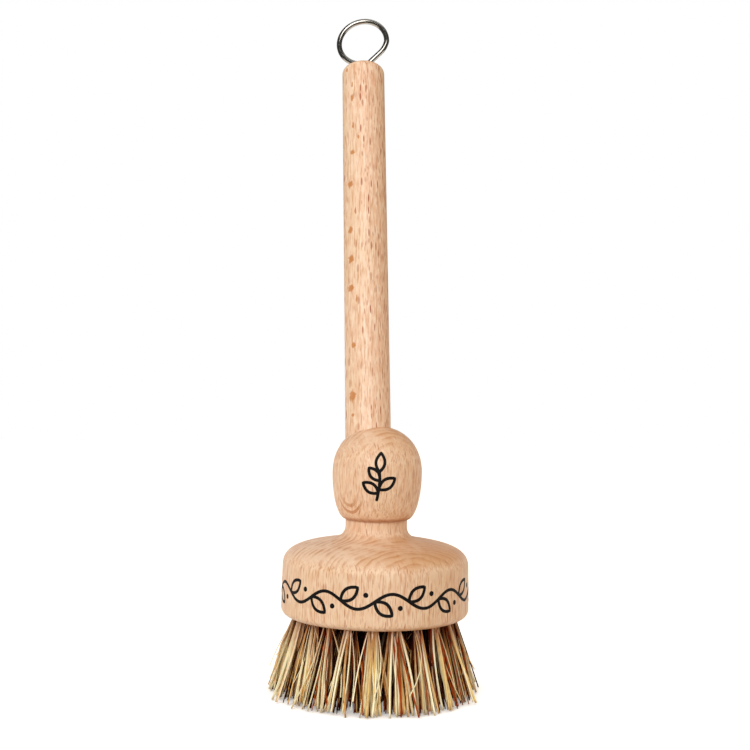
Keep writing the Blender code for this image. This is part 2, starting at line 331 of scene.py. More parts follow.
# beech, turned or planed and fine sanded: pale peach ground, upright fibres, and darker rays, which are
# thin sheets that show as short dashes, streaks or broad flecks by how the face cuts them
beech = {
    "ringLine": "#CB8C5A",
    "ray": "#A84E14",
    "broadFleck": "#C97A28",
    "endGrain": ("#F4D9C2", "#D79F69"),  # painted light and shade: paler at the left of the shoulder, where the light falls, than at its right
    "endGrainShadeAcross": (2 * mm, 36 * mm),  # from left to right, before the patches shift it
    "endGrainShare": 0.7,
    "endGrainCalm": 0.35,  # what smoother end grain keeps of the fibres and rays
    "endFaceSpan": (0.3, 0.9),  # how level the surface is where end grain starts and is full
    # painted shade: a darker line just above the crease under the knob, where shade falls
    "creaseShade": "#B98458",
    "creaseShadeShare": 0.6,
    "sheen": 0.17,  # fuzz of fine sanded wood
    "sheenRoughness": 0.4,
    "roughness": (0.42, 0.56),
    "relief": 0.04 * mm,
    "reliefStrength": 0.2,
    "rayRelief": -0.3,  # rays lie a little lower than the fibres
    # sizes in metres, two ways across the grain and along it
    "tonePatch": (1 / 60, 1 / 60, 1 / 14),
    "mottle": (1.1 * mm, 1.1 * mm, 4 * mm),
    "fibre": (0.5 * mm, 0.5 * mm, 6 * mm),  # bundles of fibres, the single ones are far finer
    "ringWander": (1 / 110, 1 / 60, 1 / 25),
    "ringWanderBy": 7 * mm,
    "toneSpan": (0.35, 0.65),  # part of a noise over which one tone turns into the next
    "darkFibre": (0.48, 0.72, 0.9),  # the same for a dark fibre, and how dark it gets
    "ringSpan": (0.3, 0.9),  # a growth ring darkens over this part of its width, then ends sharply
    "ringOnSides": 0.14,  # what the sides keep of the rings
    "patchSize": 4.5 * mm,
    "patchSpan": (0.34, 0.6),
    "patchReach": 45 * mm,
    "loopSizes": (0.85, 1.07),  # two thin loops, one in the other
    "loopWidth": 0.05,
    "loopWander": 0.15,
    "loopFoot": (-0.45, -0.8),  # only a loop's foot shows, from the first height down
    "loopShare": 0.8,
    "fleckRag": 1.3 * mm,
    "fleckRagShare": 1.6,
    "fleckEdge": (1.88, 1.38),
    "fleckShare": 0.8,
    # rays: cell towards the pith, across and along the grain, size in cells, strength
    "darkRays": ((6 * mm, 0.8 * mm, 7.5 * mm), 0.27, 1.0),
    "faintRays": ((4 * mm, 0.6 * mm, 4.6 * mm), 0.29, 0.6),
    "rayCore": 0.55,  # part of a ray that is as dark as it gets
    "rayFullAt": 0.6,  # each ray draws its strength, and has all of it from this draw on
    "rayFacing": (0.1, 0.6, 0.1),  # how far a face looks at the pith where rays start and are full, and their least
}


def rayFlecks(tree, place, cell, size, strength, shift):
    cells = addNode(tree, "Mapping", {"Vector": place, "Scale": [1 / c for c in cell], "Location": (shift,) * 3})
    sheet = addNode(tree, "TexVoronoi", {"Vector": cells, "Scale": 1.0})
    shape = addNode(tree, "MapRange", {
        "Value": sheet, "From Min": size, "From Max": size * beech["rayCore"]
    }, interpolation_type="SMOOTHSTEP")
    depth = addNode(tree, "MapRange", {
        "Value": sheet.outputs["Color"], "From Max": beech["rayFullAt"], "To Max": strength
    })
    return addNode(tree, "Math", {0: shape, 1: depth}, operation="MULTIPLY")


def roughDistance(tree, place, centre, half, noise, share):
    # the way from centre in half sizes, and its length, made uneven by a share of noise
    off = addNode(tree, "Mapping", {
        "Vector": place, "Scale": [1 / h for h in half], "Location": [-c / h for c, h in zip(centre, half)]
    })
    far = addNode(tree, "VectorMath", {0: off}, operation="LENGTH")
    return off, addNode(tree, "Math", {0: noise, 1: share, 2: far}, operation="MULTIPLY_ADD")


def beechMaterial(name, look, loops=(), spots=(), crease=None, shift=0.0):
    # tones are pink, yellow and pale; pith is the middle of the tree, beside the piece; loops are (centre, half
    # size) where the growth rings graze the surface; spots are the same for broad flecks of a quarter-sawn face;
    # crease is the height and half width of a line of painted shade just above the crease under the knob
    tones, pith, ringStrength, rayStrength = look["tones"], look["pith"], look["ringStrength"], look["rayStrength"]
    made, tree, shader = newMaterial(name)
    coordinates = addNode(tree, "TexCoord").outputs
    plain = coordinates["Object"]
    towardsPith = addNode(tree, "Mapping", {
        "Vector": plain, "Rotation": (0, 0, -math.atan2(pith[1], pith[0])), "Location": (shift, shift, shift)
    })
    normal = addNode(tree, "SeparateXYZ", {0: coordinates["Normal"]}).outputs
    level = addNode(tree, "Math", {0: normal["Z"]}, operation="ABSOLUTE")
    low, high = beech["endFaceSpan"]
    endFace = addNode(tree, "MapRange", {
        "Value": level, "From Min": low, "From Max": high
    }, interpolation_type="SMOOTHSTEP")
    calm = addNode(tree, "MapRange", {"Value": endFace, "To Min": 1.0, "To Max": beech["endGrainCalm"]})

    # broad patches of tone, fine mottling, and then the darker fibres
    low, high = beech["toneSpan"]
    ground = linear(tones[0])
    for tone, size in ((tones[1], beech["tonePatch"]), (tones[2], beech["mottle"])):
        noise = grainNoise(tree, towardsPith, size)
        share = addNode(tree, "MapRange", {"Value": noise, "From Min": low, "From Max": high})
        ground = addNode(tree, "Mix", {0: share, 6: ground, 7: linear(tone)}, data_type="RGBA")
    fibre = grainNoise(tree, towardsPith, beech["fibre"], 4.0, 0.6)
    low, high, darkest = beech["darkFibre"]
    darkFibre = addNode(tree, "MapRange", {"Value": fibre, "From Min": low, "From Max": high, "To Max": darkest})
    darkFibre = addNode(tree, "Math", {0: darkFibre, 1: calm}, operation="MULTIPLY")
    ground = addNode(tree, "Mix", {0: darkFibre, 6: ground, 7: linear(beech["ringLine"])}, data_type="RGBA")

    # growth rings, uneven in width and strength
    flatPlace = addNode(tree, "Mapping", {"Vector": plain, "Scale": (1, 1, 0)})
    field = addNode(tree, "VectorMath", {0: flatPlace, 1: (*pith, 0)}, operation="DISTANCE")
    wander = grainNoise(tree, towardsPith, beech["ringWander"], 3.0)
    field = addNode(tree, "Math", {0: wander, 1: beech["ringWanderBy"], 2: field}, operation="MULTIPLY_ADD")
    share = addNode(tree, "Math", {0: field, 1: look["ringSpacing"]}, operation="DIVIDE")
    share = addNode(tree, "Math", {0: share}, operation="FRACT")
    low, high = beech["ringSpan"]
    rise, fall = (addNode(tree, "MapRange", {
        "Value": share, "From Min": edge, "From Max": high
    }, interpolation_type="SMOOTHSTEP") for edge in (low, 1.0))
    line = addNode(tree, "Math", {0: rise, 1: fall}, operation="MULTIPLY")

    # end grain is painted paler on the lit left and darker on the shaded right, in patches that also break up the
    # rings
    patches = addNode(tree, "TexNoise", {"Vector": towardsPith, "Scale": 1 / beech["patchSize"], "Detail": 2.0})
    aside = addNode(tree, "Math", {
        0: patches, 1: beech["patchReach"], 2: addNode(tree, "SeparateXYZ", {0: plain})
    }, operation="MULTIPLY_ADD")
    low, high = beech["endGrainShadeAcross"]
    shadeToTheRight = addNode(tree, "MapRange", {"Value": aside, "From Min": low, "From Max": high})
    endGrain = addNode(tree, "Mix", {
        0: shadeToTheRight, 6: linear(beech["endGrain"][0]), 7: linear(beech["endGrain"][1])
    }, data_type="RGBA")
    endShare = addNode(tree, "Math", {0: endFace, 1: beech["endGrainShare"]}, operation="MULTIPLY")
    ground = addNode(tree, "Mix", {0: endShare, 6: ground, 7: endGrain}, data_type="RGBA")
    low, high = beech["patchSpan"]
    patches = addNode(tree, "MapRange", {"Value": patches, "From Min": low, "From Max": high})
    line = addNode(tree, "Math", {0: line, 1: patches}, operation="MULTIPLY")
    shown = addNode(tree, "MapRange", {
        "Value": endFace, "To Min": ringStrength * beech["ringOnSides"], "To Max": ringStrength
    })
    line = addNode(tree, "Math", {0: line, 1: shown}, operation="MULTIPLY")
    for centre, half in loops:
        off, far = roughDistance(tree, plain, centre, half, wander, beech["loopWander"])
        low, high = beech["loopFoot"]
        foot = addNode(tree, "MapRange", {
            "Value": addNode(tree, "SeparateXYZ", {0: off}).outputs["Z"],
            "From Min": low, "From Max": high, "To Max": beech["loopShare"],
        })
        for size in beech["loopSizes"]:
            loop = addNode(tree, "Math", {0: far, 1: size, 2: beech["loopWidth"]}, operation="COMPARE")
            loop = addNode(tree, "Math", {0: loop, 1: foot}, operation="MULTIPLY")
            line = addNode(tree, "Math", {0: line, 1: loop}, operation="MAXIMUM")
    ground = addNode(tree, "Mix", {0: line, 6: ground, 7: linear(beech["ringLine"])}, data_type="RGBA")

    dark = rayFlecks(tree, towardsPith, *beech["darkRays"], 0.0)
    faint = rayFlecks(tree, towardsPith, *beech["faintRays"], 4.3)
    ray = addNode(tree, "Math", {0: dark, 1: faint}, operation="MAXIMUM")
    # the sheets point at the pith, so a quarter-sawn face shows few dashes
    pithWay = Vector((*pith, 0)).normalized()
    faced = addNode(tree, "VectorMath", {0: coordinates["Normal"], 1: pithWay}, operation="DOT_PRODUCT")
    faced = addNode(tree, "Math", {0: faced}, operation="ABSOLUTE")
    low, high, least = beech["rayFacing"]
    faced = addNode(tree, "MapRange", {
        "Value": faced, "From Min": low, "From Max": high, "To Min": rayStrength * least, "To Max": rayStrength
    })
    faced = addNode(tree, "Math", {0: faced, 1: calm}, operation="MULTIPLY")
    ray = addNode(tree, "Math", {0: ray, 1: faced}, operation="MULTIPLY")
    wood = addNode(tree, "Mix", {0: ray, 6: ground, 7: linear(beech["ray"])}, data_type="RGBA")
    if spots:
        ragged = addNode(tree, "TexNoise", {"Vector": plain, "Scale": 1 / beech["fleckRag"], "Detail": 2.0})
        outside, inside = beech["fleckEdge"]
        fleck = 0.0
        for centre, half in spots:
            _, far = roughDistance(tree, plain, centre, half, ragged, beech["fleckRagShare"])
            spot = addNode(tree, "MapRange", {
                "Value": far, "From Min": outside, "From Max": inside
            }, interpolation_type="SMOOTHSTEP")
            fleck = addNode(tree, "Math", {0: fleck, 1: spot}, operation="MAXIMUM")
        fleck = addNode(tree, "Math", {0: fleck, 1: beech["fleckShare"]}, operation="MULTIPLY")
        wood = addNode(tree, "Mix", {0: fleck, 6: wood, 7: linear(beech["broadFleck"])}, data_type="RGBA")

    # painted shade: the wood is darkened along a line just above the crease under the knob
    if crease:
        height, halfWidth = crease
        pointHeight = addNode(tree, "SeparateXYZ", {0: plain}).outputs["Z"]
        off = addNode(tree, "Math", {0: pointHeight, 1: height}, operation="SUBTRACT")
        off = addNode(tree, "Math", {0: off}, operation="ABSOLUTE")
        creaseShadeMask = addNode(tree, "MapRange", {
            "Value": off, "From Min": halfWidth, "From Max": 0.0, "To Max": beech["creaseShadeShare"]
        }, interpolation_type="SMOOTHSTEP")
        wood = addNode(tree, "Mix", {
            0: creaseShadeMask, 6: wood, 7: linear(beech["creaseShade"])
        }, data_type="RGBA", blend_type="MULTIPLY")

    colourAndRoughness(tree, shader, wood, fibre, beech["roughness"], margin=0.3)
    shader.inputs["Sheen Weight"].default_value = beech["sheen"]
    shader.inputs["Sheen Roughness"].default_value = beech["sheenRoughness"]
    relief = addNode(tree, "Math", {0: ray, 1: beech["rayRelief"], 2: fibre}, operation="MULTIPLY_ADD")
    bump = addNode(tree, "Bump", {
        "Height": relief, "Strength": beech["reliefStrength"], "Distance": beech["relief"]
    })
    tree.links.new(bump.outputs[0], shader.inputs["Normal"])
    return made


turnedBody = {
    "baseRadius": 32.5 * mm,
    "edgeRadius": 2.6 * mm,
    "wallTaper": 0.3 * mm,
    "wallHeight": 17.3 * mm,
    "wallPull": 6.9 * mm,
    "topPull": 5.9 * mm,
    "shoulderTop": (16.9 * mm, 25.8 * mm),
    "shoulderSlope": math.radians(12.5),
    "neckRadius": 10.7 * mm,
    "neckFillet": 4.1 * mm,
    "creaseHeight": 33 * mm,
    "creaseShadeAbove": 0.4 * mm,  # the line of painted shade is this far above the crease
    "creaseShadeHalf": 1.2 * mm,
    "knobRadius": 15.55 * mm,
    "knobMiddle": 49 * mm,
    "knobTop": 65.1 * mm,
    "knobFullness": 2.15,
    "underside": 26.6 * mm,  # above the bristle tips
    "segments": 144,
    "tones": ("#F0C3A0", "#F1D0AA", "#F8DCBE"),
    "pith": (24 * mm, -66 * mm),  # in front of the base and to the right
    "ringSpacing": 2.3 * mm,
    "ringStrength": 0.8,
    "rayStrength": 0.6,
    "knobLoop": ((-11.2 * mm, -10.8 * mm, 74.4 * mm), (6.6 * mm, 6.6 * mm, 12.0 * mm)),
}


def bodyProfile(body):
    slope = body["shoulderSlope"]
    rim = arc(body["baseRadius"] - body["edgeRadius"], body["edgeRadius"], body["edgeRadius"], 0, math.pi / 2, 10)
    wallTop = (body["baseRadius"] - body["wallTaper"], body["wallHeight"])
    wall = [tuple(a + (b - a) * t for a, b in zip(rim[-1], wallTop)) for t in steps(8)[1:-1]]
    top = body["shoulderTop"]
    shoulder = cubic(
        wallTop, (wallTop[0], wallTop[1] + body["wallPull"]),
        (top[0] + body["topPull"] * math.cos(slope), top[1] - body["topPull"] * math.sin(slope)), top, 26,
    )
    fillet = body["neckFillet"]
    centre = body["neckRadius"] + fillet
    footRadius = centre - fillet * math.sin(slope)
    footHeight = top[1] + (top[0] - footRadius) * math.tan(slope)
    neck = arc(centre, footHeight + fillet * math.cos(slope), fillet, -slope, -math.pi / 2, 12)
    swell, rise = body["knobRadius"] - body["neckRadius"], body["knobMiddle"] - body["creaseHeight"]
    below = [
        (body["neckRadius"] + swell * math.sin(a), body["knobMiddle"] - rise * math.cos(a))
        for a in (t * math.pi / 2 for t in steps(24))
    ]
    crown, bulge = body["knobTop"] - body["knobMiddle"], 2 / body["knobFullness"]
    above = [
        (body["knobRadius"] * math.cos(a) ** bulge, body["knobMiddle"] + crown * math.sin(a) ** bulge)
        for a in (t * math.pi / 2 for t in steps(28)[1:-1])
    ]
    outline = [(0, 0), *rim, *wall, *shoulder, *neck, *below, *above, (0, body["knobTop"])]
    return [(radius, height + body["underside"]) for radius, height in outline]


handle = {
    "radius": 8 * mm,
    "length": 163.7 * mm,
    "lean": math.radians(16.6),
    "endRadius": 3 * mm,
    "footChamfer": 0.8 * mm,
    "sideOffset": 3 * mm,
    "footBelowMiddle": 5.7 * mm,
    "boreRadius": 1.3 * mm,
    "boreDepth": 16.3 * mm,
    "countersink": 1.15 * mm,
    "glueGap": 0.04 * mm,
    "borer": (-6 * mm, 40 * mm),  # along the handle from the middle of the knob
    "segments": 96,
    "tones": ("#F2C4A2", "#F4D4B0", "#FDE3C8"),
    "pith": (45 * mm, -45 * mm),  # so that the left side is the quarter-sawn one
    "ringSpacing": 2.8 * mm,
    "ringStrength": 0.6,
    "rayStrength": 0.95,
    "fleckDepth": 3 * mm,
    "flecks": [
        # broad flecks on the quarter-sawn side: place from the foot's middle, half width and half height, all in mm
        ((-6.7, -4.4, 160.0), 0.35, 1.0), ((-5.0, -6.2, 153.2), 0.35, 1.6), ((-5.0, -6.2, 147.4), 0.55, 1.9),
        ((-4.8, -6.4, 135.7), 0.45, 1.5), ((-3.0, -7.4, 130.7), 0.4, 0.9), ((-5.1, -6.2, 125.0), 0.8, 1.0),
        ((-6.0, -5.3, 112.4), 1.0, 1.6), ((-4.3, -6.8, 101.3), 0.35, 1.4), ((-6.1, -5.2, 94.3), 0.85, 1.5),
        ((-6.0, -5.3, 82.9), 1.1, 1.6), ((-6.0, -5.3, 71.8), 1.0, 1.6), ((-4.3, -6.8, 67.2), 0.4, 1.6),
        ((-5.4, -5.9, 50.2), 0.6, 1.2), ((-5.9, -5.4, 31.6), 1.2, 2.4), ((-5.8, -5.5, 24.8), 0.5, 0.8),
    ],
}
handleFrame = (
    Matrix.Translation((-handle["sideOffset"], 0, turnedBody["underside"] + turnedBody["knobMiddle"]))
    @ Matrix.Rotation(-handle["lean"], 4, "X")
)

tufts = {
    "circles": {"outer": 22, "middle": 16, "inner": 10, "core": 5},
    "outerRadius": 26 * mm,
    "step": 6.5 * mm,
    "splay": 0.25,  # how far the tips move out, as a share of the hole's own circle
    "length": turnedBody["underside"],
    "holeRadius": 2.5 * mm,
    "holeDepth": 11 * mm,
    "holeSides": 20,
    "drillLead": 2 * mm,  # how far outside the face the drill starts
    "foldDepth": 9.312 * mm,
    "foldSpread": (0.75, 0.25),  # out and sideways, as shares of the bundle at the mouth
    "bundleRadius": 2.3 * mm,
    "strands": 40,
    "thickness": {  # half widths: thinnest, thickest, usual
        "pale": (0.24 * mm, 0.66 * mm, 0.40 * mm),
        "dark": (0.15 * mm, 0.42 * mm, 0.25 * mm),
    },
    "sides": 5,
    "flatness": (0.5, 0.9),
    "taper": (0.8, 1.0),
    "tipRoomOut": 3.5 * mm,
    "tipGap": 0.3 * mm,
    "trim": 1.2 * mm,  # the tips end within this height, most of them low in it
    "trimPower": 1.6,
    "clumpLean": (0.8, 1.2),  # mm that a clump leans in and sideways
    "play": (0.4, 0.6, 0.9, 1.8),  # mm that a tip is off its place, one of these to a strand
    "bend": (0.25, 0.4, 0.8),  # mm that a strand bows
    "strays": 4,
    "strayThickness": (0.17, 0.24),  # mm
    "strayPlay": 2.3,
    "strayBend": 1.4,
    "strayHeight": (1, 8),  # mm
    "outerTone": (0.5, 1.0),  # tone of most outer strands
    "insideShadeTone": (0.0, 0.4),  # and of the strands inside the head, darker as painted shade
    "outerToneShare": 0.85,
    "outerToneFrom": 0.1,  # how far out in its tuft a strand counts as outer
}


def tuftPlaces():
    places = []
    for row, (circle, count) in enumerate(tufts["circles"].items()):
        radius = tufts["outerRadius"] - row * tufts["step"]
        sideRoom = math.pi * radius * (1 + tufts["splay"]) / count - tufts["tipGap"]
        for index in range(count):
            places.append((f"tuft_{circle}_{index + 1:02d}", radius, math.tau * (index + row / 2) / count, sideRoom))
    places.append(("tuft_centre", 0.0, 0.0, tufts["tipRoomOut"]))
    return places


def makeBody():
    mesh = lathe("turnedBody", bodyProfile(turnedBody), turnedBody["segments"])
    creaseShadeHeight = turnedBody["underside"] + turnedBody["creaseHeight"] + turnedBody["creaseShadeAbove"]
    material = beechMaterial(
        "turnedBeech", turnedBody, loops=[turnedBody["knobLoop"]], crease=(creaseShadeHeight, turnedBody["creaseShadeHalf"])
    )
    body = addPiece("turnedBody", mesh, material, nodes=["turned_body"])

    # blind tuft holes, each drilled along its tuft's lean
    points, faces = [], []
    for _, radius, turn, _ in tuftPlaces():
        outward = Vector((math.cos(turn), math.sin(turn), 0))
        axis = (Vector((0, 0, tufts["length"])) - outward * radius * tufts["splay"]).normalized()
        mouth = outward * radius + Vector((0, 0, turnedBody["underside"]))
        tube, sidesOfTube = sweep(
            [mouth - axis * tufts["drillLead"], mouth + axis * tufts["holeDepth"]],
            lambda step, angle: tufts["holeRadius"], tufts["holeSides"],
        )
        faces += [tuple(i + len(points) for i in face) for face in sidesOfTube]
        points += tube
    cutBy(body, newObject("drill", meshFrom("drill", points, faces)))

    socketRadius, (low, high) = handle["radius"] + handle["glueGap"], handle["borer"]
    borer = lathe("borer", [(0, low), (socketRadius, low), (socketRadius, high), (0, high)], handle["segments"])
    cutBy(body, newObject("borer", borer, handleFrame))
    return body


body = makeBody()
print("turned body made:", len(body.data.polygons), "faces")


def makeHandle():
    r, end = handle["radius"], handle["length"]
    bore, sink = handle["boreRadius"], handle["countersink"]
    profile = [
        (0, 0), (r - handle["footChamfer"], 0), (r, handle["footChamfer"]),
        *[(r, end * t) for t in steps(12)[1:-1]],
        *arc(r - handle["endRadius"], end - handle["endRadius"], handle["endRadius"], math.pi / 2, math.pi, 12),
        (bore + sink, end), (bore, end - sink), (bore, end - handle["boreDepth"]), (0, end - handle["boreDepth"]),
    ]
    spots = [
        ([c * mm for c in centre], (halfWidth * mm, handle["fleckDepth"], halfHeight * mm))
        for centre, halfWidth, halfHeight in handle["flecks"]
    ]
    material = beechMaterial("planedBeechDowel", handle, spots=spots, shift=0.31)
    place = handleFrame @ Matrix.Translation((0, 0, -handle["footBelowMiddle"]))
    return addPiece(
        "handle", lathe("handle", profile, handle["segments"]), material, place, ["handle"]
    )


handlePiece = makeHandle()
print("handle made:", len(handlePiece.data.polygons), "faces")


screwEye = {
    "wireRadius": 1.0 * mm,
    "outerRadius": 10.25 * mm,
    "standoff": 0.9 * mm,
    "twist": math.radians(-15.3),
    "shank": 16 * mm,
    "taper": 4 * mm,
    "bend": 1.1 * mm,
    "meets": math.radians(70),
    "stopsShort": math.radians(5),
    "blend": 3.0 * mm,
    "threadPitch": 1.25 * mm,
    "threadDepth": 0.28 * mm,
    "threadLength": 12 * mm,
    "threadSteps": 10,  # for each turn of the thread
    "pointSize": 0.2,
    "sides": 24,
    "colour": "#B5B0A7",
    "scratchColour": "#9C978F",
    "scratchSize": 1.1 * mm,
    "roughness": (0.11, 0.21),
}


def steelMaterial():
    # nickel-plated drawn steel wire: a smooth mirror that shows the felt as black and the lamp as a bright line
    made, tree, shader = newMaterial("nickelPlatedSteel")
    place = addNode(tree, "TexCoord").outputs["Object"]
    wear = addNode(tree, "TexNoise", {"Vector": place, "Scale": 1 / screwEye["scratchSize"], "Detail": 4.0})
    tone = addNode(tree, "Mix", {
        0: wear, 6: linear(screwEye["scratchColour"]), 7: linear(screwEye["colour"])
    }, data_type="RGBA")
    colourAndRoughness(tree, shader, tone, wear, screwEye["roughness"], margin=0.3)
    shader.inputs["Metallic"].default_value = 1.0
    return made


def makeScrewEye():
    eye = screwEye
    radius = eye["outerRadius"] - eye["wireRadius"]
    middle = eye["standoff"] + eye["outerRadius"]

    def onRing(angle):
        return Vector((radius * math.sin(angle), 0, middle - radius * math.cos(angle)))

    def corner(before, at, after):
        return [before * (1 - t) ** 2 + at * 2 * t * (1 - t) + after * t * t for t in steps(10)]

    surface, joint = Vector((0, 0, 0)), onRing(eye["meets"])
    along = joint.normalized()
    shankSteps = int(eye["shank"] / eye["threadPitch"] * eye["threadSteps"])
    shank = [Vector((0, 0, -eye["shank"] + (eye["shank"] - eye["bend"]) * t)) for t in steps(shankSteps)]
    stretchStart, stretchEnd = along * eye["bend"], joint - along * eye["blend"]
    ringStart = eye["meets"] + eye["blend"] / radius
    path = (
        shank[:-1] + corner(Vector((0, 0, -eye["bend"])), surface, stretchStart)
        + [stretchStart.lerp(stretchEnd, t) for t in steps(6)[1:-1]]
        + corner(stretchEnd, joint, onRing(ringStart))
        + [onRing(ringStart + (math.tau - eye["stopsShort"] - ringStart) * t) for t in steps(96)[1:]]
    )

    def radiusAt(step, angle):
        if step >= len(shank) - 1:
            return eye["wireRadius"]
        depth = path[step].z + eye["shank"]  # from the point
        size = eye["wireRadius"] * min(1.0, eye["pointSize"] + (1 - eye["pointSize"]) * depth / eye["taper"])
        turn = (depth / eye["threadPitch"] - angle / math.tau) % 1.0
        cut = eye["threadDepth"] * abs(2 * turn - 1) * min(1.0, max(0.0, (eye["threadLength"] - depth) / mm))
        return size - cut * min(1.0, depth / eye["taper"])

    points, faces = sweep(path, radiusAt, eye["sides"])
    place = (
        handleFrame @ Matrix.Translation((0, 0, handle["length"] - handle["footBelowMiddle"]))
        @ Matrix.Rotation(eye["twist"], 4, "Z")
    )
    mesh = meshFrom("ringScrewEye", points, faces)
    return addPiece("ringScrewEye", mesh, steelMaterial(), place, ["ring_screw_eye"])


eyePiece = makeScrewEye()
print("screw eye made:", len(eyePiece.data.polygons), "faces")


fibres = {
    # natural plant fibre, cut square: waxy where it is pale and dull where it is dark, uneven in colour along
    # each strand, and with painted shade near the tips by the board and under the block
    # each fibre's dark colour is what its strands inside the head show, partly the fibre's own variation and partly
    # painted shade
    "creamTampico": {"light": "#FFF7C8", "dark": "#DE9A3A", "roughness": (0.27, 0.43), "gloss": 1.0},
    "strawTampico": {"light": "#FFE294", "dark": "#AC6820", "roughness": (0.39, 0.55), "gloss": 0.5},
    "goldenPalmyra": {"light": "#FBD08A", "dark": "#9E6020", "roughness": (0.46, 0.62), "gloss": 0.2},
    "redBassine": {"light": "#AE4E16", "dark": "#4C1601", "roughness": (0.54, 0.7), "gloss": 0.08},
    "darkBassine": {"light": "#451804", "dark": "#100401", "roughness": (0.64, 0.8), "gloss": 0.03},
}
mixes = {
    # shares of the five fibres in one clump of strands
    "pale": (0.60, 0.10, 0.04, 0.10, 0.16),
    "golden": (0.38, 0.20, 0.18, 0.12, 0.12),
    "red": (0.15, 0.08, 0.08, 0.46, 0.23),
    "dark": (0.05, 0.04, 0.07, 0.38, 0.46),
}
outerClumps = {"pale": 0.62, "golden": 0.06, "red": 0.22, "dark": 0.1}
# inside the head more strands are dark fibre, partly the brush's own mix and partly painted shade
innerClumps = {"pale": 0.03, "golden": 0.12, "red": 0.45, "dark": 0.4}
frontClumps = {
    # the tufts that face the camera from left to right, and in each the clumps at its outer right, its right, its
    # inside, its left and its outer left
    # the dark inside clumps are partly painted shade
    "tuft_outer_12": ("pale", "pale", "dark", "golden", "pale"),
    "tuft_outer_13": ("pale", "pale", "dark", "dark", "pale"),
    "tuft_outer_14": ("pale", "pale", "dark", "pale", "pale"),
    "tuft_outer_15": ("pale", "pale", "dark", "golden", "pale"),
    "tuft_outer_16": ("pale", "red", "dark", "dark", "pale"),
    "tuft_outer_17": ("pale", "golden", "dark", "red", "pale"),
    "tuft_outer_18": ("pale", "golden", "dark", "red", "pale"),
    "tuft_outer_19": ("pale", "red", "red", "dark", "pale"),
    "tuft_outer_20": ("golden", "pale", "dark", "red", "red"),
    "tuft_outer_21": ("pale", "dark", "dark", "golden", "red"),
    "tuft_outer_22": ("golden", "pale", "dark", "dark", "pale"),
    "tuft_outer_01": ("pale", "golden", "dark", "red", "golden"),
}


strandShade = {
    "streak": (0.5 * mm, 0.5 * mm, 6 * mm),
    "span": (0.5, 1.2),  # over this sum of streak and tone the dark colour turns into the light one
    # painted shade that darkens a strand: its colour, the heights where it starts and is full, and how full it is
    # painted shade at the tips, where the strands meet the board
    "tipShade": ("#8A6A48", 2.2 * mm, 0.2 * mm, 0.6),
    # painted shade under the block, where the strands go into their holes
    "root": ("#BA7A3A", 12 * mm, 27 * mm, 0.8),
}


def fibreMaterial(name, look):
    made, tree, shader = newMaterial(name)
    place = addNode(tree, "TexCoord").outputs["Object"]
    streak = grainNoise(tree, place, strandShade["streak"], 3.0)
    tone = addNode(tree, "Attribute", attribute_name="strandTone").outputs["Fac"]
    both = addNode(tree, "Math", {0: streak, 1: tone}, operation="ADD")
    low, high = strandShade["span"]
    share = addNode(tree, "MapRange", {"Value": both, "From Min": low, "From Max": high})
    colour = addNode(tree, "Mix", {
        0: share, 6: linear(look["dark"]), 7: linear(look["light"])
    }, data_type="RGBA")
    height = addNode(tree, "SeparateXYZ", {0: place}).outputs["Z"]
    # painted shade at the tips and under the block
    for shadeColour, start, full, most in (strandShade["tipShade"], strandShade["root"]):
        share = addNode(tree, "MapRange", {
            "Value": height, "From Min": start, "From Max": full, "To Max": most
        }, interpolation_type="SMOOTHSTEP")
        colour = addNode(tree, "Mix", {
            0: share, 6: colour, 7: linear(shadeColour)
        }, data_type="RGBA", blend_type="MULTIPLY")
    colourAndRoughness(tree, shader, colour, streak, look["roughness"])
    shader.inputs["Specular IOR Level"].default_value = look["gloss"]
    return made


